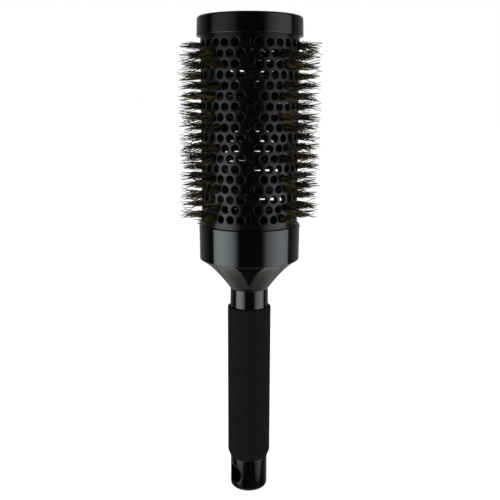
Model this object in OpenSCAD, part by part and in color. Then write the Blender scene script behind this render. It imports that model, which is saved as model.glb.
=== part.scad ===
// Round blow-drying brush: a vented metal barrel between a cap and the collar of a straight
// handle, with tufts of mixed bristle that a twisted-wire core holds on the axis.
// Millimetres. Origin: the centre of the handle's flat foot. +Z runs up the axis to the cap.
// An azimuth is an angle about +Z from the front of the brush, which faces -Y, towards +X.

/* [Barrel] */
// Outside diameter of the metal barrel
barrel_d = 53; // [51:0.5:56]
// Wall thickness of the barrel
barrel_wall = 1.2; // [0.8:0.1:1.6]
// Rows of vent holes up the barrel
vent_rows = 18; // [12:3:21]
// Vent holes in one row, an odd number in each quarter so that the tuft columns meet holes
vents_per_row = 28; // [20:8:28]
// Height from one row of vents to the next
row_pitch = 5.32; // [5.1:0.02:6]
// Diameter of a vent hole
vent_d = 4.2; // [3.6:0.1:4.4]
// Height from the collar to the centres of the lowest row
collar_band = 5.6; // [4:0.1:8]
// Height from the centres of the highest row to the cap
cap_band = 4.4; // [4:0.1:8]

/* [Cap] */
// Height of the cap
cap_h = 10.2; // [10:0.1:16]
// How far the cap's lower edge stands out past the barrel
cap_overhang = 2; // [1.6:0.1:3]
// Draft of the cap's side wall, from its lower edge to its top
cap_draft = 0.3; // [0:0.1:0.5]
// Rounding of the cap's top edge
cap_round = 1.5; // [0.6:0.1:2]

/* [Collar and neck] */
// Height of the straight collar below the barrel
collar_h = 19.4; // [17:0.1:24]
// How far the collar's lip stands out past the barrel
collar_overhang = 1.5; // [0.9:0.1:2]
// Height of the funnel between the collar and the neck
funnel_h = 17.5; // [16:0.1:24]
// Diameter of the neck where the funnel meets it
neck_d = 21.3; // [20:0.1:22]
// Height of the neck above the grip sleeve
neck_h = 10.6; // [6:0.1:16]

/* [Handle] */
// Diameter of the grip sleeve
grip_d = 24.5; // [22.6:0.1:27]
// Length of the grip sleeve
grip_len = 91.8; // [70:0.1:110]
// Diameter of the handle's core inside the sleeve
core_d = 18; // [16:0.1:19]
// Diameter of the handle's bare lower end
end_d = 21.4; // [20:0.1:22]
// Length of the handle's bare lower end
end_h = 19.3; // [17.5:0.1:24]
// Rounding of the lower end's edge
foot_round = 2.2; // [1:0.1:2.6]
// Diameter of the hanging hole through the lower end
hang_d = 10.8; // [8:0.1:10.8]
// Height of the hanging hole's centre
hang_z = 9.2; // [9.1:0.1:9.4]
// Azimuth that the hanging hole faces
hang_az = -59; // [-90:1:90]

/* [Bristles] */
// Radius that the tips of the nylon quills reach
bristle_reach = 39; // [36:0.5:44]
// How much shorter the boar hair is than the quills
hair_short = 0.7; // [0.5:0.1:2]
// Diameter of a tuft of boar hair at the wire core
tuft_root_d = 1.2; // [1:0.1:1.3]
// Diameter of a tuft of boar hair at its tip
tuft_tip_d = 3; // [2:0.1:3.1]
// Diameter of a nylon quill
quill_d = 0.7; // [0.4:0.1:0.7]
// Diameter of each of the two core wires
wire_d = 2; // [1.6:0.1:2.2]
// Height of one full turn of the twisted wires
twist_pitch = 16; // [12:1:24]

/* [Hidden] */
$fn = 96;

// Clearance between two plastic or metal faces that slide together
fit_gap = 0.05;
// Depth of barrel that sits inside the cap, and inside the collar
cap_seat = 7;
collar_seat = 14;
// Thickness of the cap's top and of its inner ring
cap_top_wall = 2.4;
cap_ring_wall = 1.6;
// Sockets that hold the ends of the wire core, and their bosses
socket_r = wire_d + fit_gap;
boss_r = 5.5;
socket_depth = 34;
// Spigot of the handle that sits inside the neck
spigot_r = 6;
spigot_h = 7;
// Draft of the neck and of the collar
neck_draft = 0.15;
collar_draft = 0.2;
// Wall of the collar's shoulder and of the funnel
shoulder_wall = 2.5;
// Slopes of the funnel, from the axis, at the neck and at the collar
funnel_low_slope = 36;
funnel_high_slope = 60;
// Height of the taper at the sleeve's lower end, and the rounding of its top edge
sleeve_taper_h = 3.7;
sleeve_round = 0.6;
// How far the hanging hole is flared at each mouth, in radius and in depth
hang_flare = 1.4;
hang_flare_depth = 2;
// How far a vent's cut runs past the barrel wall on each side
vent_margin = 0.8;
// One row in this many has no tuft in the columns that lie between the main ones
bare_every = 3;

barrel_r = barrel_d / 2;
inner_r = barrel_r - barrel_wall;
grip_top = end_h + grip_len;
neck_top = grip_top + neck_h;
collar_bottom = neck_top + funnel_h;
collar_top = collar_bottom + collar_h;
seat_z = collar_top - collar_seat;
wire_foot_z = seat_z - socket_depth;
barrel_show = collar_band + (vent_rows - 1) * row_pitch + cap_band;
cap_z = collar_top + barrel_show;
total_h = cap_z + cap_h;
collar_r = barrel_r + collar_overhang;
vent_step = 360 / vents_per_row;
stagger = vent_step / 4;
hair_len = bristle_reach - hair_short - socket_r;

function row_z(i) = collar_top + collar_band + i * row_pitch;
function row_side(i) = i % 2 == 0 ? 1 : -1;

// The points of an arc in (radius, height), from angle a to angle b
function arc(cr, cz, r, a, b, steps) =
    [for (i = [0:steps]) let (t = a + (b - a) * i / steps) [cr + r * cos(t), cz + r * sin(t)]];

// The points of a curve that leaves point p towards m and reaches point q from m
function bend(p, m, q, steps) =
    [for (i = [0:steps]) let (t = i / steps) (1 - t) * (1 - t) * p + 2 * t * (1 - t) * m + t * t * q];

// Where the line through p at slope a from the axis meets the line through q at slope b
function corner(p, a, q, b) =
    let (d = q - p, s = (d[0] * cos(b) - d[1] * sin(b)) / sin(a - b))
    p + s * [sin(a), cos(a)];

// The funnel's curve from the neck to the collar, moved inwards by a wall's thickness
function funnel(wall) =
    let (low = [neck_d / 2 - wall * 0.8, neck_top + wall * 1.2],
         high = [collar_r - collar_draft - wall, collar_bottom + wall * 0.6])
    bend(low, corner(low, funnel_low_slope, high, funnel_high_slope), high, 20);

function reversed(list) = [for (i = [len(list) - 1:-1:0]) list[i]];

// Puts its children at a row's height, pointing out along an azimuth
module outward(i, azimuth) {
    translate([0, 0, row_z(i)])
        rotate([90, 0, azimuth])
            children();
}

// The places of one column's tufts: a main column has one in every row and leans to the
// same side as its row's holes, and a column between them leaves one row in every few bare
module column(index) {
    main = index % 2 == 0;
    for (i = [0:vent_rows - 1])
        if (main || (i + (index + 1) / 2) % bare_every > 0)
            outward(i, index * 45 + (main ? 1 : -1) * row_side(i) * stagger)
                children();
}

// The collar that seats the barrel, the funnel below it and the neck, all one moulding
module collar() {
    outline = concat(
        [[spigot_r + fit_gap, grip_top], [neck_d / 2 + neck_draft, grip_top]],
        funnel(0),
        [[collar_r, collar_top], [barrel_r + fit_gap, collar_top], [barrel_r + fit_gap, seat_z]],
        [[collar_r - collar_draft - shoulder_wall, seat_z]],
        reversed(funnel(shoulder_wall)),
        [[boss_r, neck_top + shoulder_wall * 1.2], [boss_r, seat_z], [socket_r, seat_z]],
        [[socket_r, grip_top + spigot_h], [spigot_r + fit_gap, grip_top + spigot_h]]
    );
    color([0.03, 0.03, 0.03])
        rotate_extrude()
            polygon(outline);
}

// The straight handle: a bare lower end, the core inside the sleeve and a spigot for the neck
module handle() {
    outline = concat(
        [[0, 0]],
        arc(end_d / 2 - foot_round, foot_round, foot_round, -90, 0, 10),
        [[end_d / 2, end_h], [core_d / 2, end_h], [core_d / 2, grip_top], [spigot_r, grip_top]],
        [[spigot_r, grip_top + spigot_h], [socket_r, grip_top + spigot_h]],
        [[socket_r, wire_foot_z], [0, wire_foot_z]]
    );
    color([0.03, 0.03, 0.03])
        difference() {
            rotate_extrude()
                polygon(outline);
            translate([0, 0, hang_z])
                rotate([90, 0, hang_az])
                    hanging_hole();
        }
}

// A straight bore across the handle's end, flared where it comes out on each side
module hanging_hole() {
    mouth = end_d / 2 - hang_flare_depth;
    cylinder(h = end_d + 2, d = hang_d, center = true);
    for (side = [0, 180])
        rotate([side, 0, 0])
            translate([0, 0, mouth])
                cylinder(h = hang_flare_depth * 1.1, r1 = hang_d / 2, r2 = hang_d / 2 + hang_flare * 1.1);
}

module grip_sleeve() {
    r = grip_d / 2;
    outline = concat(
        [[core_d / 2, end_h], [end_d / 2, end_h], [r, end_h + sleeve_taper_h]],
        arc(r - sleeve_round, grip_top - sleeve_round, sleeve_round, 0, 90, 6),
        [[core_d / 2, grip_top]]
    );
    color([0.09, 0.09, 0.09])
        rotate_extrude()
            polygon(outline);
}

module barrel() {
    top = cap_z + cap_seat;
    outline = [[inner_r, seat_z], [barrel_r, seat_z], [barrel_r, top], [inner_r, top]];
    color([0.12, 0.12, 0.13])
        difference() {
            rotate_extrude()
                polygon(outline);
            for (i = [0:vent_rows - 1], k = [0:vents_per_row - 1])
                outward(i, row_side(i) * stagger + k * vent_step)
                    translate([0, 0, inner_r - vent_margin])
                        cylinder(h = barrel_wall + 2 * vent_margin, d = vent_d, $fn = 32);
        }
}

module end_cap() {
    top_r = barrel_r + cap_overhang - cap_draft;
    ring_r = inner_r - fit_gap;
    under = total_h - cap_top_wall;
    boss_z = cap_z + cap_seat - 4;
    outline = concat(
        arc(top_r - cap_round, total_h - cap_round, cap_round, 90, 0, 8),
        [[barrel_r + cap_overhang, cap_z], [barrel_r + fit_gap, cap_z]],
        [[barrel_r + fit_gap, cap_z + cap_seat], [ring_r, cap_z + cap_seat], [ring_r, cap_z + 1]],
        [[ring_r - cap_ring_wall, cap_z + 1], [ring_r - cap_ring_wall, under], [boss_r, under]],
        [[boss_r, boss_z], [socket_r, boss_z], [socket_r, under], [0, under], [0, total_h]]
    );
    color([0.03, 0.03, 0.03])
        rotate_extrude()
            polygon(outline);
}

// One wire of the twisted pair, from the socket in the handle to the one in the cap
module core_wire(turn) {
    length = total_h - cap_top_wall - wire_foot_z;
    turns = length / twist_pitch;
    color([0.6, 0.6, 0.62])
        translate([0, 0, wire_foot_z])
            rotate([0, 0, turn])
                linear_extrude(height = length, twist = -360 * turns, slices = ceil(turns * 8), $fn = 8)
                    translate([wire_d / 2, 0])
                        circle(d = wire_d, $fn = 8);
}

// The boar hair of one column, a slim cone for each tuft
module boar_tufts(index) {
    color([0.10, 0.08, 0.06])
        column(index)
            translate([0, 0, socket_r])
                cylinder(h = hair_len, d1 = tuft_root_d, d2 = tuft_tip_d, $fn = 24);
}

// The nylon quills of one column, one along the upper flank of each tuft and one along the lower
module nylon_quills(index) {
    offset_y = (tuft_root_d + quill_d) / 2 + fit_gap;
    lean = atan((tuft_tip_d - tuft_root_d) / 2 / hair_len);
    color([0.02, 0.02, 0.02])
        column(index)
            for (side = [-1, 1])
                translate([0, side * offset_y, socket_r])
                    rotate([-side * lean, 0, 0])
                        cylinder(h = bristle_reach - socket_r, d = quill_d, $fn = 24);
}

handle();
grip_sleeve();
collar();
barrel();
end_cap();
core_wire(0);  // core_wire_a
core_wire(180);  // core_wire_b
boar_tufts(0);  // boar_tufts_front
boar_tufts(1);  // boar_tufts_front_right
boar_tufts(2);  // boar_tufts_right
boar_tufts(3);  // boar_tufts_back_right
boar_tufts(4);  // boar_tufts_back
boar_tufts(5);  // boar_tufts_back_left
boar_tufts(6);  // boar_tufts_left
boar_tufts(7);  // boar_tufts_front_left
nylon_quills(0);  // nylon_quills_front
nylon_quills(1);  // nylon_quills_front_right
nylon_quills(2);  // nylon_quills_right
nylon_quills(3);  // nylon_quills_back_right
nylon_quills(4);  // nylon_quills_back
nylon_quills(5);  // nylon_quills_back_left
nylon_quills(6);  // nylon_quills_left
nylon_quills(7);  // nylon_quills_front_left
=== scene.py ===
"""The looks of a round barrel brush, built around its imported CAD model. Metres throughout."""
import math

import bpy
import numpy as np
from mathutils import Matrix, Vector


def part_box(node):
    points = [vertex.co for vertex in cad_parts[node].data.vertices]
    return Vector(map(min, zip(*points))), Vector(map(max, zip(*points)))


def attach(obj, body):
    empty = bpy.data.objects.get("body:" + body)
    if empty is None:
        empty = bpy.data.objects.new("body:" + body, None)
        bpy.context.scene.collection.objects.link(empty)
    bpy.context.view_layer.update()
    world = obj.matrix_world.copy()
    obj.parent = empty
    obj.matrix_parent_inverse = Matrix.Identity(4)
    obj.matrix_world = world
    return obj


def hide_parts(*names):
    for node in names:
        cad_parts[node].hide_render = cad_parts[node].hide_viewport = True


MM = 0.001
SIDES = ("front", "front_right", "right", "back_right", "back", "back_left", "left", "front_left")

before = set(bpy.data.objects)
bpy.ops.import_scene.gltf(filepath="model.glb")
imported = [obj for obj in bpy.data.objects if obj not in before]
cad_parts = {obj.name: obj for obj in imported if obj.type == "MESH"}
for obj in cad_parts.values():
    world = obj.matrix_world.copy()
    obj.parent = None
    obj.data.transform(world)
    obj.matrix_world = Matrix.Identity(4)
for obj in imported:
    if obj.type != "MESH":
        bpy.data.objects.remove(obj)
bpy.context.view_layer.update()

# ---- sizes that the frame gives ----
HANDLE_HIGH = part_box("handle")[1]
SLEEVE_LOW, SLEEVE_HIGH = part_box("grip_sleeve")
COLLAR_LOW, COLLAR_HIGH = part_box("collar")
BARREL_LOW, BARREL_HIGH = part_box("barrel")
CAP_LOW, CAP_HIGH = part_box("end_cap")
WIRE_LOW, WIRE_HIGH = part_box("core_wire_a")
QUILL_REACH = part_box("nylon_quills_right")[1].x
HAIR_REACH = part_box("boar_tufts_right")[1].x

# ---- sizes that repeat the CAD source ----
BARREL_WALL = 1.2 * MM
VENT_ROWS = 18
VENTS_PER_ROW = 28
ROW_PITCH = 5.32 * MM
VENT_RADIUS = 2.1 * MM
COLLAR_BAND = 5.6 * MM
STAGGER = math.radians(360 / VENTS_PER_ROW / 4)
BARE_EVERY = 3
FIT_GAP = 0.05 * MM
WIRE_RADIUS = 1 * MM
TWIST_PITCH = 16 * MM
SOCKET_RADIUS = 2 * WIRE_RADIUS + FIT_GAP
BOSS_RADIUS = 5.5 * MM
SPIGOT_RADIUS = 6 * MM
CORE_RADIUS = 9 * MM
END_RADIUS = 10.7 * MM
FOOT_ROUND = 2.2 * MM
NECK_RADIUS = 10.65 * MM
NECK_DRAFT = 0.15 * MM
NECK_TOP = SLEEVE_HIGH.z + 10.6 * MM
COLLAR_BOTTOM = COLLAR_HIGH.z - 19.4 * MM
COLLAR_DRAFT = 0.2 * MM
SHOULDER_WALL = 2.5 * MM
FUNNEL_SLOPES = (math.radians(36), math.radians(60))
CAP_DRAFT = 0.3 * MM
CAP_ROUND = 1.5 * MM
CAP_RING_WALL = 1.6 * MM
CAP_BOSS_DEPTH = 4 * MM
SLEEVE_TAPER = 3.7 * MM
SLEEVE_FOOT_STEP = 0.1 * MM
HANG_RADIUS = 5.4 * MM
HANG_HEIGHT = 9.2 * MM
HANG_AZIMUTH = math.radians(-59)

# ---- how the edges are rounded ----
FINE_EDGE = 0.2 * MM
EDGE = 0.3 * MM
LIP_EDGE = 0.35 * MM
NECK_BEND_ROUND = 0.5 * MM
SLEEVE_FOOT_ROUND = 0.25 * MM
SLEEVE_BEND_ROUND = 3 * MM
SLEEVE_TOP_ROUND = 0.7 * MM
VENT_RIM = ((0.42 * MM, 0), (0.16 * MM, 0.03 * MM), (0.03 * MM, 0.12 * MM), (0, 0.3 * MM))
HANG_FLARE = 1 * MM
HANG_FLARE_DEPTH = 1.1 * MM

# ---- how finely the pieces are made ----
SHARP_ANGLE = math.radians(32)
LATHE_SIDES = 160
VENT_STEPS = 6
MOUTH_STEPS = 80
MOUTH_RISE = 16
MOUTH_LAYERS = 10
MOUTH_LOW, MOUTH_HIGH = 2.4 * MM, 16.6 * MM
MOUTH_END = 0.3
FLARE_STEPS = 6
WIRE_SIDES = 14
WIRE_STEPS_PER_TURN = 20
WIRE_FULLNESS = 0.98
WELD_DISTANCE = 0.001 * MM
BESIDE_ARC = 0.08 * MM
LONG_STRETCH = 1 * MM

# ---- how the bristles run: each tuft's bristles fill its hole, bulge, and end in pointed locks ----
HAIR_STEPS = (0, 0.35, 0.64, 0.76, 0.88, 1)
HAIR_ROOT = 1.2 * MM
HAIR_IN_HOLE = 1.9 * MM
CORE_SPREAD = 2.6 * MM
BOW_SPREAD = 0.4 * MM
# Painted shade: the front column's bristles, which face the camera, get tones only up to this share of the
# full range.
FRONT_COLUMN_PAINTED_SHADE = 0.45
BOAR = {"seed": 1, "count": 60, "reach": HAIR_REACH, "thickness": (0.21 * MM, 0.06 * MM), "sides": 3,
        "locks": 6, "lengths": (0.86, 1.0), "shortest": 0.88, "spread": 1.45 * MM, "loose": 0.16 * MM,
        "bulge": 1.0}
NYLON = {"seed": 2, "count": 7, "reach": QUILL_REACH, "thickness": (0.28 * MM, 0.14 * MM), "sides": 5,
         "locks": 7, "lengths": (0.92, 1.0), "shortest": 1.0, "spread": 1.9 * MM, "loose": 0.1 * MM,
         "bulge": 0}

# ---- the studio ----
SOFT_BOX_FOOT, SOFT_BOX_TOP = -0.2, 0.7
SOFT_BOX_DISTANCE = 0.38
SOFT_BOX_SPREAD = [(0, 0), (0.05, 0.65), (0.25, 0.95), (0.42, 1), (0.62, 0.83), (0.78, 0.57),
                   (0.91, 0.18), (1, 0)]
SOFT_BOX_DIM_FOOT = 0.3
FLOOR_HALF = 8
GLOSS_SHARE_OF_WORLD = 0.35

# ---- the photo's camera ----
SENSOR_WIDTH = 36
CAMERA_ANGLE = math.radians(38.14)
CAMERA_ROLL = math.radians(0.18)
CAMERA_PLACE = (0.36 * MM, -0.4, 0.224)
CAMERA_TARGET = (0.36 * MM, 0, 0.1433)


# ---- meshes ----
def outward(azimuth):
    """The unit vector that points out from the axis at an azimuth, counted from the front."""
    return np.array([math.sin(azimuth), -math.cos(azimuth), 0.0])


def row_height(row):
    return COLLAR_HIGH.z + COLLAR_BAND + row * ROW_PITCH


def row_side(row):
    return 1 if row % 2 == 0 else -1


def make_piece(name, points, faces, material, slot, stands_for):
    """A smooth-shaded mesh that rides on the brush and stands for CAD nodes."""
    mesh = bpy.data.meshes.new(name)
    mesh.from_pydata([tuple(p) for p in points], [], faces)
    mesh.validate()
    mesh.shade_smooth()
    mesh.set_sharp_from_angle(angle=SHARP_ANGLE)
    mesh.materials.append(material)
    piece = bpy.data.objects.new(name, mesh)
    bpy.context.scene.collection.objects.link(piece)
    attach(piece, "root")
    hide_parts(*stands_for)
    return piece


def rounded(corners, steps=5):
    """An outline of (radius, height) points from corners (radius, height, rounding).

    A point beside each arc keeps the shading of the long straight stretches flat.
    """
    outline = []
    count = len(corners)
    for i, (r, z, rounding) in enumerate(corners):
        here = np.array([r, z])
        if rounding <= 0:
            outline.append(here)
            continue
        before = np.array(corners[i - 1][:2]) - here
        after = np.array(corners[(i + 1) % count][:2]) - here
        far_before, far_after = np.linalg.norm(before), np.linalg.norm(after)
        before /= far_before
        after /= far_after
        half_turn = math.acos(np.clip(before @ after, -1, 1)) / 2
        reach = rounding / math.tan(half_turn)
        centre = here + (before + after) / np.linalg.norm(before + after) * rounding / math.sin(half_turn)
        first = here + before * reach - centre
        last = here + after * reach - centre
        turn = math.atan2(first[0] * last[1] - first[1] * last[0], first @ last)
        if far_before > 2 * reach + LONG_STRETCH:
            outline.append(here + before * (reach + BESIDE_ARC))
        for k in range(steps + 1):
            a = turn * k / steps
            spun = np.array([first[0] * math.cos(a) - first[1] * math.sin(a),
                             first[0] * math.sin(a) + first[1] * math.cos(a)])
            outline.append(centre + spun)
        if far_after > 2 * reach + LONG_STRETCH:
            outline.append(here + after * (reach + BESIDE_ARC))
    return outline


def lathe(outline, sides=LATHE_SIDES, phase=0.0, closed=True):
    """Points and faces of an outline of (radius, height), listed up its outside, turned about the axis."""
    points, rings, faces = [], [], []
    turns = [outward(phase + math.tau * k / sides) for k in range(sides)]
    for r, z in outline:
        if r < 1e-7:
            rings.append([len(points)])
            points.append(np.array([0, 0, z]))
        else:
            rings.append(list(range(len(points), len(points) + sides)))
            points += [turn * r + np.array([0, 0, z]) for turn in turns]
    pairs = list(zip(rings, rings[1:]))
    if closed and len(rings[0]) > 1 and len(rings[-1]) > 1:
        pairs.append((rings[-1], rings[0]))
    for low, high in pairs:
        if len(low) == 1:
            faces += [(low[0], high[(k + 1) % sides], high[k]) for k in range(sides)]
        elif len(high) == 1:
            faces += [(low[k], low[(k + 1) % sides], high[0]) for k in range(sides)]
        else:
            bridge(faces, low, high)
    return points, faces


def joined(*meshes):
    """The points and faces of several meshes as one."""
    points, faces = [], []
    for more_points, more_faces in meshes:
        start = len(points)
        points += list(more_points)
        faces += [tuple(v + start for v in face) for face in more_faces]
    return points, faces


def welded(points, faces):
    """The same mesh with points that coincide made one."""
    keys = np.round(np.asarray(points, float) / WELD_DISTANCE).astype(np.int64)
    _, first, index = np.unique(keys, axis=0, return_index=True, return_inverse=True)
    index = index.reshape(-1)
    merged = np.asarray(points, float)[first]
    kept = []
    for face in faces:
        corners = [int(index[v]) for v in face]
        corners = [v for i, v in enumerate(corners) if v != corners[i - 1]]
        if len(corners) > 2:
            kept.append(tuple(corners))
    return merged, kept


def bridge(faces, low, high):
    """Adds the quads between two closed rings of point numbers."""
    count = len(low)
    for k in range(count):
        n = (k + 1) % count
        faces.append((low[k], low[n], high[n], high[k]))


def stacked(layers):
    """The mesh between closed rings of points, each joined to the next."""
    count = len(layers[0])
    points = [p for layer in layers for p in layer]
    rings = [list(range(i * count, (i + 1) * count)) for i in range(len(layers))]
    faces = []
    for low, high in zip(rings, rings[1:]):
        bridge(faces, low, high)
    return points, faces


def square_ring(across, up):
    """Points round a square from -1 to 1, counter-clockwise: across steps a side, up steps a side."""
    ring = [(1, -1 + 2 * k / up) for k in range(up)]
    ring += [(1 - 2 * k / across, 1) for k in range(across)]
    ring += [(-1, 1 - 2 * k / up) for k in range(up)]
    ring += [(-1 + 2 * k / across, -1) for k in range(across)]
    return ring


def round_ring(across, up):
    """Points round a circle of radius 1 that match square_ring's, a quarter turn to each side."""
    steps = [(-45, up), (45, across), (135, up), (225, across)]
    angles = [math.radians(start + 90 * k / count) for start, count in steps for k in range(count)]
    return [(math.cos(a), math.sin(a)) for a in angles]


def on_cylinder(azimuth, height, radius):
    return outward(azimuth) * radius + np.array([0, 0, height])


# ---- the barrel ----
def vent_cell(azimuth, height):
    """One vent hole with the stretch of barrel wall round it, its rims rounded."""
    outer, inner = BARREL_HIGH.x, BARREL_HIGH.x - BARREL_WALL
    square, circle = square_ring(VENT_STEPS, VENT_STEPS), round_ring(VENT_STEPS, VENT_STEPS)
    half_width = math.pi / VENTS_PER_ROW
    half_height = ROW_PITCH / 2
    layers = [[on_cylinder(azimuth + x * half_width, height + y * half_height, outer) for x, y in square]]
    for wider, deeper in (*VENT_RIM, (0, BARREL_WALL - 0.05 * MM)):
        hole, radius = VENT_RADIUS + wider, outer - deeper
        layers.append([on_cylinder(azimuth + math.asin(x * hole / radius), height + y * hole, radius)
                       for x, y in circle])
    layers.append([on_cylinder(azimuth + x * half_width, height + y * half_height, inner) for x, y in square])
    return stacked(layers)


def barrel_mesh():
    """The drilled tube: a cell for each vent hole, and a plain band at each end."""
    outer, inner = BARREL_HIGH.x, BARREL_HIGH.x - BARREL_WALL
    step = math.tau / VENTS_PER_ROW
    cells = [vent_cell(row_side(row) * STAGGER + k * step, row_height(row))
             for row in range(VENT_ROWS) for k in range(VENTS_PER_ROW)]
    low = row_height(0) - ROW_PITCH / 2
    high = row_height(VENT_ROWS - 1) + ROW_PITCH / 2
    top = [(outer, high), *rounded([(outer, BARREL_HIGH.z, FINE_EDGE), (inner, BARREL_HIGH.z, FINE_EDGE),
                                    (inner, high, 0), (outer, high, 0)])[:-2], (inner, high)]
    foot = [(inner, low), *rounded([(inner, BARREL_LOW.z, FINE_EDGE), (outer, BARREL_LOW.z, FINE_EDGE),
                                    (outer, low, 0), (inner, low, 0)])[:-2], (outer, low)]
    sides = VENTS_PER_ROW * VENT_STEPS
    bands = [lathe(top, sides, row_side(VENT_ROWS - 1) * STAGGER + step / 2, closed=False),
             lathe(foot, sides, row_side(0) * STAGGER + step / 2, closed=False)]
    return welded(*joined(*cells, *bands))


# ---- the handle, collar, cap and sleeve ----
def handle_mesh():
    """The straight handle, with a hanging hole whose rims are rounded."""
    sides, phase = 2 * MOUTH_STEPS, HANG_AZIMUTH + math.pi / 2
    foot_corners = [(END_RADIUS, 0, FOOT_ROUND), (END_RADIUS, MOUTH_LOW, 0), (0, MOUTH_LOW, 0), (0, 0, 0)]
    foot = [(0, 0), *rounded(foot_corners, 12)[:-3], (END_RADIUS, MOUTH_LOW)]
    shaft = [(END_RADIUS, MOUTH_HIGH), *rounded([
        (END_RADIUS, SLEEVE_LOW.z, EDGE), (CORE_RADIUS, SLEEVE_LOW.z, FINE_EDGE),
        (CORE_RADIUS, SLEEVE_HIGH.z, EDGE), (SPIGOT_RADIUS, SLEEVE_HIGH.z, FINE_EDGE),
        (SPIGOT_RADIUS, HANDLE_HIGH.z, 2 * FINE_EDGE), (SOCKET_RADIUS, HANDLE_HIGH.z, FINE_EDGE),
        (SOCKET_RADIUS, WIRE_LOW.z, 0), (0, WIRE_LOW.z, 0),
        (0, MOUTH_HIGH, 0), (END_RADIUS, MOUTH_HIGH, 0)])[:-2]]
    mouths = [hanging_mouth(HANG_AZIMUTH + turn) for turn in (0, math.pi)]
    points, faces = joined(lathe(foot, sides, phase, closed=False), lathe(shaft, sides, phase, closed=False),
                           *mouths)
    count = 2 * (MOUTH_STEPS + MOUTH_RISE)
    last = len(points) - count
    first = last - len(mouths[1][0])
    bridge(faces, list(range(first, first + count)),
           [last + (count - MOUTH_STEPS - k) % count for k in range(count)])
    return welded(points, faces)


def hanging_mouth(azimuth):
    """Half of the handle's lower wall, with one end of the hanging hole in its middle."""
    square, circle = square_ring(MOUTH_STEPS, MOUTH_RISE), round_ring(MOUTH_STEPS, MOUTH_RISE)
    out, side = outward(azimuth), outward(azimuth + math.pi / 2)
    rim = HANG_RADIUS + HANG_FLARE

    def across_hole(x, y, radius, sink):
        """A point at a radius from the hole's axis, sunk below the handle's surface there."""
        depth = math.sqrt(END_RADIUS ** 2 - (x * radius) ** 2) - sink
        return side * x * radius + out * depth + np.array([0, 0, HANG_HEIGHT + y * radius])

    layers = []
    for t in (k / MOUTH_LAYERS for k in range(MOUTH_LAYERS)):
        layer = []
        for (sx, sy), (x, y) in zip(square, circle):
            rim_turn, rim_height = math.asin(x * rim / END_RADIUS), HANG_HEIGHT + y * rim
            turn = (1 - t) * sx * math.pi / 2 + t * rim_turn
            height = (1 - t) * (MOUTH_LOW + (sy + 1) / 2 * (MOUTH_HIGH - MOUTH_LOW)) + t * rim_height
            layer.append(on_cylinder(azimuth + turn, height, END_RADIUS))
        layers.append(layer)
    for t in (k / FLARE_STEPS for k in range(FLARE_STEPS + 1)):
        radius = (1 - t) ** 2 * rim + (1 - (1 - t) ** 2) * HANG_RADIUS
        layers.append([across_hole(x, y, radius, t * t * HANG_FLARE_DEPTH) for x, y in circle])
    layers.append([side * x * HANG_RADIUS + out * END_RADIUS * MOUTH_END
                   + np.array([0, 0, HANG_HEIGHT + y * HANG_RADIUS]) for x, y in circle])
    return stacked(layers)


def bend(start, middle, end, steps):
    """Points of a curve that leaves start towards middle and comes to end from it."""
    start, middle, end = (np.array(p) for p in (start, middle, end))
    return [(1 - t) ** 2 * start + 2 * t * (1 - t) * middle + t * t * end
            for t in (k / steps for k in range(steps + 1))]


def funnel_curve(wall, steps):
    """The funnel's outline from the neck to the collar, moved inwards by a wall's thickness."""
    low = np.array([NECK_RADIUS - wall * 0.8, NECK_TOP + wall * 1.2])
    high = np.array([COLLAR_HIGH.x - COLLAR_DRAFT - wall, COLLAR_BOTTOM + wall * 0.6])
    a, b = FUNNEL_SLOPES
    gap = high - low
    reach = (gap[0] * math.cos(b) - gap[1] * math.sin(b)) / math.sin(a - b)
    return bend(low, low + reach * np.array([math.sin(a), math.cos(a)]), high, steps)


def collar_mesh():
    """The neck, the funnel and the cup that seats the barrel."""
    barrel_seat = BARREL_HIGH.x + FIT_GAP
    neck_socket = SPIGOT_RADIUS + FIT_GAP
    outside, inside = funnel_curve(0, 28), funnel_curve(SHOULDER_WALL, 12)
    top, seat = COLLAR_HIGH.z, BARREL_LOW.z
    corners = [(neck_socket, COLLAR_LOW.z, FINE_EDGE), (NECK_RADIUS + NECK_DRAFT, COLLAR_LOW.z, EDGE)]
    corners += [(*outside[0], NECK_BEND_ROUND), *((r, z, 0) for r, z in outside[1:-1]),
                (*outside[-1], LIP_EDGE)]
    corners += [(COLLAR_HIGH.x, top, LIP_EDGE), (barrel_seat, top, FINE_EDGE), (barrel_seat, seat, 0),
                (inside[-1][0], seat, EDGE)]
    corners += [(r, z, 0) for r, z in reversed(inside)]
    corners += [(BOSS_RADIUS, inside[0][1], 0), (BOSS_RADIUS, seat, EDGE),
                (SOCKET_RADIUS, seat, FINE_EDGE), (SOCKET_RADIUS, HANDLE_HIGH.z, 0),
                (neck_socket, HANDLE_HIGH.z, 0)]
    return lathe(rounded(corners))


def cap_mesh():
    """The cap, with the ring that goes into the barrel and the boss that holds the wires."""
    skirt, ring = BARREL_HIGH.x + FIT_GAP, BARREL_HIGH.x - BARREL_WALL - FIT_GAP
    top, under, seat = CAP_HIGH.z, WIRE_HIGH.z, BARREL_HIGH.z
    bore, boss_foot, ring_foot = ring - CAP_RING_WALL, seat - CAP_BOSS_DEPTH, CAP_LOW.z + 1 * MM
    under_side = [(0, under, 0), (SOCKET_RADIUS, under, 0), (SOCKET_RADIUS, boss_foot, FINE_EDGE),
                  (BOSS_RADIUS, boss_foot, EDGE), (BOSS_RADIUS, under, 0), (bore, under, 0),
                  (bore, ring_foot, FINE_EDGE), (ring, ring_foot, FINE_EDGE), (ring, seat, 0),
                  (skirt, seat, 0)]
    outside = [(skirt, CAP_LOW.z, FINE_EDGE), (CAP_HIGH.x, CAP_LOW.z, 2 * FINE_EDGE),
               (CAP_HIGH.x - CAP_DRAFT, top, CAP_ROUND), (0, top, 0)]
    return lathe(rounded(under_side + outside, 8))


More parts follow.
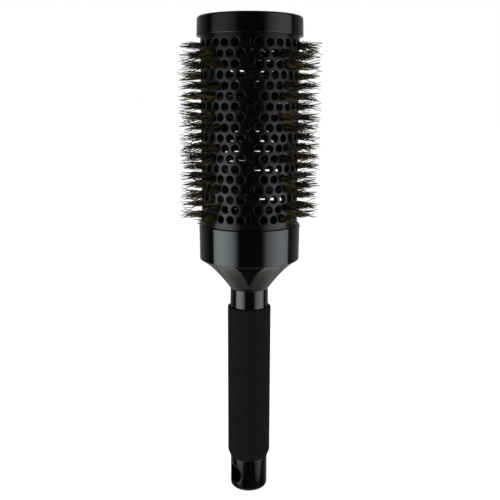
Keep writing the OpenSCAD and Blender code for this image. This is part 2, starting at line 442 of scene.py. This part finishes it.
def sleeve_mesh():
    """The foam tube, tapered at its foot to just outside the handle's end."""
    radius = SLEEVE_HIGH.x
    corners = [(CORE_RADIUS, SLEEVE_LOW.z, FINE_EDGE),
               (END_RADIUS + SLEEVE_FOOT_STEP, SLEEVE_LOW.z, SLEEVE_FOOT_ROUND),
               (radius, SLEEVE_LOW.z + SLEEVE_TAPER, SLEEVE_BEND_ROUND),
               (radius, SLEEVE_HIGH.z, SLEEVE_TOP_ROUND), (CORE_RADIUS, SLEEVE_HIGH.z, FINE_EDGE)]
    return lathe(rounded(corners, 8))


# ---- the wire core ----
def wire_mesh(phase):
    """One wire of the pair, which winds round the axis at its own radius."""
    length = WIRE_HIGH.z - WIRE_LOW.z
    turns = length / TWIST_PITCH
    steps = math.ceil(turns * WIRE_STEPS_PER_TURN)
    layers = []
    for i in range(steps + 1):
        t = i / steps
        angle = phase + math.tau * turns * t
        out = np.array([math.cos(angle), math.sin(angle), 0])
        along = np.array([-math.sin(angle) * WIRE_RADIUS, math.cos(angle) * WIRE_RADIUS,
                          TWIST_PITCH / math.tau])
        along /= np.linalg.norm(along)
        across = np.cross(along, out)
        centre = out * WIRE_RADIUS + np.array([0, 0, WIRE_LOW.z + length * t])
        layers.append([centre + (out * math.cos(a) + across * math.sin(a)) * WIRE_RADIUS * WIRE_FULLNESS
                       for a in (math.tau * k / WIRE_SIDES for k in range(WIRE_SIDES))])
    points, faces = stacked(layers)
    faces += [tuple(reversed(range(WIRE_SIDES))), tuple(range(len(points) - WIRE_SIDES, len(points)))]
    return points, faces


# ---- the bristles ----
def column_places(index):
    """(azimuth, height) of each tuft in a column: the CAD source's rule."""
    main = index % 2 == 0
    lean = 1 if main else -1
    return [(math.radians(index * 45) + lean * row_side(row) * STAGGER, row_height(row))
            for row in range(VENT_ROWS) if main or (row + (index + 1) // 2) % BARE_EVERY]


def strands(rng, azimuth, height, kind):
    """Points and faces of the bristles of one tuft, from the wire core out through the vent hole."""
    out, side, up = outward(azimuth), outward(azimuth + math.pi / 2), np.array([0, 0, 1.0])
    base = np.array([0, 0, height])
    sides = kind["sides"]
    root, tip_radius = kind["thickness"]
    locks = rng.normal(0, kind["spread"], (kind["locks"], 2))
    lock_lengths = rng.uniform(*kind["lengths"], kind["locks"])
    points, faces = [], []
    for hair in range(kind["count"]):
        direction = rng.uniform(0, math.tau)
        lock = hair % kind["locks"]
        way = np.array([math.cos(direction), math.sin(direction)])
        in_hole = way * math.sqrt(rng.uniform()) * HAIR_IN_HOLE
        at_core = np.array([0, rng.uniform(-1, 1) * CORE_SPREAD])
        at_tip = locks[lock] + rng.normal(0, kind["loose"], 2)
        bow = in_hole * kind["bulge"] + rng.normal(0, BOW_SPREAD, 2)
        tip = kind["reach"] * lock_lengths[lock] * rng.uniform(kind["shortest"], 1)
        at_wall = (BARREL_HIGH.x - HAIR_ROOT) / (tip - HAIR_ROOT)
        start = len(points)
        for t in HAIR_STEPS:
            inside, beyond = min(t / at_wall, 1), max((t - at_wall) / (1 - at_wall), 0)
            offset = at_core + (in_hole - at_core) * inside + (at_tip - in_hole) * beyond
            offset = offset + bow * beyond * (1 - beyond) * 2
            middle = base + out * (HAIR_ROOT + (tip - HAIR_ROOT) * t) + side * offset[0] + up * offset[1]
            radius = root + (tip_radius - root) * t ** 6
            for n in range(sides):
                a = direction + math.tau * n / sides
                points.append(middle + (side * math.cos(a) + up * math.sin(a)) * radius)
            if t > 0:
                high = list(range(len(points) - sides, len(points)))
                bridge(faces, [v - sides for v in high], high)
        faces.append(tuple(range(len(points) - sides, len(points))))
        faces.append(tuple(reversed(range(start, start + sides))))
    return points, faces


def bristle_mesh(index, kind):
    """The bristles of one column of tufts, and a shade for each bristle's points: a random tone, held darker
    in the front column as painted shade.
    """
    rng = np.random.default_rng(1000 * index + kind["seed"])
    made = [strands(rng, azimuth, height, kind) for azimuth, height in column_places(index)]
    points, faces = joined(*made)
    per_hair = kind["sides"] * len(HAIR_STEPS)
    # Painted shade: the front column's random hair tones are held to the darker end.
    darkest = FRONT_COLUMN_PAINTED_SHADE if index == 0 else 1
    shades = np.repeat(rng.uniform(0, darkest, len(points) // per_hair), per_hair)
    return points, faces, shades


# ---- materials ----
def new_material(name):
    """A material with its nodes, its links and its Principled shader."""
    material = bpy.data.materials.new(name)
    material.use_nodes = True
    nodes, links = material.node_tree.nodes, material.node_tree.links
    return material, nodes, links, nodes["Principled BSDF"]


def noise(nodes, links, scale, detail=2.0, stretch=(1, 1, 1)):
    """A noise texture in the brush's own coordinates, in cells of about 1 / scale metres."""
    place = nodes.new("ShaderNodeTexCoord")
    mapping = nodes.new("ShaderNodeMapping")
    mapping.inputs["Scale"].default_value = stretch
    texture = nodes.new("ShaderNodeTexNoise")
    texture.inputs["Scale"].default_value = scale
    texture.inputs["Detail"].default_value = detail
    links.new(place.outputs["Object"], mapping.inputs["Vector"])
    links.new(mapping.outputs["Vector"], texture.inputs["Vector"])
    return texture.outputs["Fac"]


def ramp(nodes, links, value, stops, socket):
    """Sends a value through a colour ramp, given as (position, colour) stops, into a socket."""
    node = nodes.new("ShaderNodeValToRGB")
    elements = node.color_ramp.elements
    while len(elements) < len(stops):
        elements.new(0.5)
    for element, (position, colour) in zip(elements, stops):
        element.position = position
        element.color = (*colour, 1)
    links.new(value, node.inputs["Fac"])
    links.new(node.outputs["Color"], socket)


def mixer(nodes, blend):
    """A node that adds or multiplies two colours: its two inputs and its result."""
    node = nodes.new("ShaderNodeMix")
    node.data_type, node.blend_type = "RGBA", blend
    node.inputs["Factor"].default_value = 1
    return node.inputs[6], node.inputs[7], node.outputs[2]


def greys(stops):
    """Colour stops from (position, brightness) stops."""
    return [(position, (level, level, level)) for position, level in stops]


def levels(nodes, links, value, low, high, socket):
    """Maps a value from 0..1 to low..high and feeds it to a socket."""
    node = nodes.new("ShaderNodeMapRange")
    node.inputs["To Min"].default_value = low
    node.inputs["To Max"].default_value = high
    links.new(value, node.inputs["Value"])
    links.new(node.outputs["Result"], socket)


def bump(nodes, links, value, height, shader):
    node = nodes.new("ShaderNodeBump")
    node.inputs["Strength"].default_value = 1
    node.inputs["Distance"].default_value = height
    links.new(value, node.inputs["Height"])
    links.new(node.outputs["Normal"], shader.inputs["Normal"])


def gloss_plastic():
    """Black moulding plastic with a high polish and the faint unevenness of its mould."""
    material, nodes, links, shader = new_material("gloss_black_plastic")
    wear = noise(nodes, links, 900, 4)
    ramp(nodes, links, wear, [(0.3, (0.0014, 0.0012, 0.0012)), (0.7, (0.003, 0.0027, 0.0026))],
         shader.inputs["Base Color"])
    levels(nodes, links, noise(nodes, links, 260, 5), 0.05, 0.13, shader.inputs["Roughness"])
    bump(nodes, links, noise(nodes, links, 130, 1), 0.012 * MM, shader)
    return material


def barrel_coating():
    """A dark satin coat on metal, with a fine speckle."""
    material, nodes, links, shader = new_material("barrel_coating")
    speckle = noise(nodes, links, 5200, 2)
    ramp(nodes, links, speckle, [(0.35, (0.001, 0.001, 0.0012)), (0.75, (0.004, 0.004, 0.0044))],
         shader.inputs["Base Color"])
    levels(nodes, links, noise(nodes, links, 700, 4), 0.16, 0.28, shader.inputs["Roughness"])
    bump(nodes, links, speckle, 0.008 * MM, shader)
    shader.inputs["Specular IOR Level"].default_value = 0.27
    return material


def foam_rubber():
    """Closed-cell foam with a fine, dull, slightly dusty grain."""
    material, nodes, links, shader = new_material("foam_rubber")
    cells = nodes.new("ShaderNodeTexVoronoi")
    place = nodes.new("ShaderNodeTexCoord")
    cells.inputs["Scale"].default_value = 2600
    links.new(place.outputs["Object"], cells.inputs["Vector"])
    mottle = noise(nodes, links, 420, 6)
    ramp(nodes, links, mottle, [(0.3, (0.0032, 0.0032, 0.0032)), (0.7, (0.006, 0.006, 0.0059))],
         shader.inputs["Base Color"])
    levels(nodes, links, cells.outputs["Distance"], 0.72, 0.95, shader.inputs["Roughness"])
    bump(nodes, links, cells.outputs["Distance"], 0.06 * MM, shader)
    shader.inputs["Specular IOR Level"].default_value = 0.12
    return material


def drawn_steel():
    material, nodes, links, shader = new_material("drawn_steel")
    streak = noise(nodes, links, 900, 3, stretch=(1, 1, 0.12))
    ramp(nodes, links, streak, [(0.3, (0.28, 0.28, 0.29)), (0.7, (0.5, 0.5, 0.51))],
         shader.inputs["Base Color"])
    levels(nodes, links, streak, 0.25, 0.45, shader.inputs["Roughness"])
    shader.inputs["Metallic"].default_value = 1
    return material


def shade_of_hair(nodes):
    node = nodes.new("ShaderNodeAttribute")
    node.attribute_name = "hair_shade"
    return node.outputs["Fac"]


def boar_hair():
    """Natural bristle: mostly near-black brown, some hairs paler, down to straw, and a little see-through."""
    material, nodes, links, shader = new_material("boar_hair")
    stops = [(0.0, (0.003, 0.0025, 0.002)), (0.38, (0.01, 0.007, 0.003)), (0.6, (0.1, 0.064, 0.014)),
             (1.0, (0.55, 0.37, 0.08))]
    ramp(nodes, links, shade_of_hair(nodes), stops, shader.inputs["Base Color"])
    levels(nodes, links, noise(nodes, links, 1500, 2), 0.3, 0.5, shader.inputs["Roughness"])
    shader.inputs["Transmission Weight"].default_value = 0.8
    return material


def nylon():
    """Smooth black nylon."""
    material, nodes, links, shader = new_material("black_nylon")
    ramp(nodes, links, shade_of_hair(nodes), [(0.0, (0.004, 0.004, 0.004)), (1.0, (0.012, 0.012, 0.012))],
         shader.inputs["Base Color"])
    levels(nodes, links, noise(nodes, links, 1200, 2), 0.1, 0.22, shader.inputs["Roughness"])
    return material


# ---- the pieces ----
plastic, coating, foam, steel = gloss_plastic(), barrel_coating(), foam_rubber(), drawn_steel()
hair, quill = boar_hair(), nylon()

make_piece("barrel_shell", *barrel_mesh(), coating, "barrel_coating", ["barrel"])
make_piece("handle_body", *handle_mesh(), plastic, "gloss_plastic", ["handle"])
make_piece("collar_body", *collar_mesh(), plastic, "gloss_plastic", ["collar"])
make_piece("cap_body", *cap_mesh(), plastic, "gloss_plastic", ["end_cap"])
make_piece("foam_sleeve", *sleeve_mesh(), foam, "foam_rubber", ["grip_sleeve"])
for letter, phase in (("a", 0), ("b", math.pi)):
    make_piece("twisted_wire_" + letter, *wire_mesh(phase), steel, "wire", ["core_wire_" + letter])

for index, side_name in enumerate(SIDES):
    for kind, name, node, material, slot in (
            (BOAR, "boar_hair_", "boar_tufts_", hair, "boar_hair"),
            (NYLON, "nylon_bristles_", "nylon_quills_", quill, "nylon")):
        points, faces, shades = bristle_mesh(index, kind)
        piece = make_piece(name + side_name, points, faces, material, slot, [node + side_name])
        attribute = piece.data.attributes.new("hair_shade", "FLOAT", "POINT")
        attribute.data.foreach_set("value", shades.astype(np.float32))


# ---- the studio ----
def staged(name, corners, material):
    """A flat card or floor that isn't part of the brush."""
    mesh = bpy.data.meshes.new(name)
    mesh.from_pydata([tuple(corner) for corner in corners], [], [tuple(range(len(corners)))])
    mesh.materials.append(material)
    card = bpy.data.objects.new(name, mesh)
    bpy.context.scene.collection.objects.link(card)
    return card


def glowing(name, strength):
    """A material that only gives light, with its nodes, its links and its light's colour socket."""
    material = bpy.data.materials.new(name)
    material.use_nodes = True
    nodes, links = material.node_tree.nodes, material.node_tree.links
    nodes.clear()
    emission, output = nodes.new("ShaderNodeEmission"), nodes.new("ShaderNodeOutputMaterial")
    emission.inputs["Strength"].default_value = strength
    links.new(emission.outputs["Emission"], output.inputs["Surface"])
    return material, nodes, links, emission.inputs["Color"]


def soft_box(name, outer, inner, glow, dimmed):
    """A tall soft light over a span of azimuths: it fades towards its sides and foot, and dims upwards."""
    material, nodes, links, colour = glowing(name + "_glow", glow)
    place, split = nodes.new("ShaderNodeTexCoord"), nodes.new("ShaderNodeSeparateXYZ")
    turn = nodes.new("ShaderNodeMath")
    span, rise = nodes.new("ShaderNodeMapRange"), nodes.new("ShaderNodeMapRange")
    turn.operation = "ARCTAN2"
    outer, inner = math.radians(outer), math.radians(inner)
    span.inputs["From Min"].default_value = math.atan2(-math.cos(outer), math.sin(outer))
    span.inputs["From Max"].default_value = math.atan2(-math.cos(inner), math.sin(inner))
    rise.inputs["From Min"].default_value, rise.inputs["From Max"].default_value = SOFT_BOX_FOOT, SOFT_BOX_TOP
    links.new(place.outputs["Object"], split.inputs["Vector"])
    links.new(split.outputs["Y"], turn.inputs[0])
    links.new(split.outputs["X"], turn.inputs[1])
    links.new(turn.outputs["Value"], span.inputs["Value"])
    links.new(split.outputs["Z"], rise.inputs["Value"])
    first, second, product = mixer(nodes, "MULTIPLY")
    cool = [(position, (level * 0.94, level, level * 1.05)) for position, level in SOFT_BOX_SPREAD]
    ramp(nodes, links, span.outputs["Result"], cool, first)
    heights = [(0, SOFT_BOX_DIM_FOOT), (0.13, SOFT_BOX_DIM_FOOT), (0.22, 1), (0.34, 1), (0.57, dimmed),
               (1, dimmed)]
    ramp(nodes, links, rise.outputs["Result"], greys(heights), second)
    links.new(product, colour)
    reach = SOFT_BOX_DISTANCE / math.cos((inner - outer) / 2)
    foot, top = np.array([0, 0, SOFT_BOX_FOOT]), np.array([0, 0, SOFT_BOX_TOP])
    card = staged(name, [outward(outer) * reach + foot, outward(inner) * reach + foot,
                         outward(inner) * reach + top, outward(outer) * reach + top], material)
    card.visible_camera = card.visible_shadow = False


def pale_floor():
    """A plain white floor that glows a little, so that hardly any shadow shows on it."""
    material, nodes, links, shader = new_material("pale_floor")
    shader.inputs["Base Color"].default_value = (0.5, 0.495, 0.485, 1)
    shader.inputs["Roughness"].default_value = 0.9
    shader.inputs["Specular IOR Level"].default_value = 0.1
    shader.inputs["Emission Color"].default_value = (1, 1, 1, 1)
    shader.inputs["Emission Strength"].default_value = 0.94
    corners = [(x * FLOOR_HALF, y * FLOOR_HALF, 0) for x, y in ((-1, -1), (1, -1), (1, 1), (-1, 1))]
    floor = staged("floor", corners, material)
    floor.visible_glossy = False


def studio_world():
    """Light behind the brush and dark before it, dimmer in its gloss; the camera sees plain white."""
    world = bpy.data.worlds.new("studio")
    bpy.context.scene.world = world
    world.use_nodes = True
    nodes, links = world.node_tree.nodes, world.node_tree.links
    nodes.clear()
    place, split = nodes.new("ShaderNodeTexCoord"), nodes.new("ShaderNodeSeparateXYZ")
    lit, seen = nodes.new("ShaderNodeBackground"), nodes.new("ShaderNodeBackground")
    path, mix, output = (nodes.new("ShaderNodeLightPath"), nodes.new("ShaderNodeMixShader"),
                         nodes.new("ShaderNodeOutputWorld"))
    first, second, total = mixer(nodes, "ADD")
    downward = nodes.new("ShaderNodeMath")
    downward.operation = "MULTIPLY"
    downward.inputs[1].default_value = -1
    links.new(place.outputs["Generated"], split.inputs["Vector"])
    links.new(split.outputs["Z"], downward.inputs[0])
    backward = greys([(0, 0.02), (0.2, 0.05), (0.4, 0.3), (0.66, 0.6), (0.92, 0.85)])
    ramp(nodes, links, split.outputs["Y"], backward, first)
    ramp(nodes, links, downward.outputs["Value"], [(0.55, (0, 0, 0)), (0.68, (1.0, 0.95, 0.85))], second)
    links.new(total, lit.inputs["Color"])
    levels(nodes, links, path.outputs["Is Glossy Ray"], 1, GLOSS_SHARE_OF_WORLD, lit.inputs["Strength"])
    seen.inputs["Color"].default_value = (1, 1, 1, 1)
    links.new(path.outputs["Is Camera Ray"], mix.inputs["Fac"])
    links.new(lit.outputs["Background"], mix.inputs[1])
    links.new(seen.outputs["Background"], mix.inputs[2])
    links.new(mix.outputs["Shader"], output.inputs["Surface"])


def camera():
    """In front of the brush, a little below its cap, looking slightly down."""
    data = bpy.data.cameras.new("camera")
    data.sensor_width = SENSOR_WIDTH
    data.angle = CAMERA_ANGLE
    holder = bpy.data.objects.new("camera", data)
    place, target = Vector(CAMERA_PLACE), Vector(CAMERA_TARGET)
    turn = (target - place).to_track_quat("-Z", "Y").to_matrix().to_4x4()
    holder.matrix_world = Matrix.Translation(place) @ turn @ Matrix.Rotation(CAMERA_ROLL, 4, "Z")
    bpy.context.scene.collection.objects.link(holder)
    bpy.context.scene.camera = holder


pale_floor()
studio_world()
soft_box("soft_box_left", -88, -22, 4.0, 0.13)
soft_box("soft_box_right", 98, 27, 2.8, 0.36)
camera()
bpy.context.scene.view_settings.view_transform = "Standard"
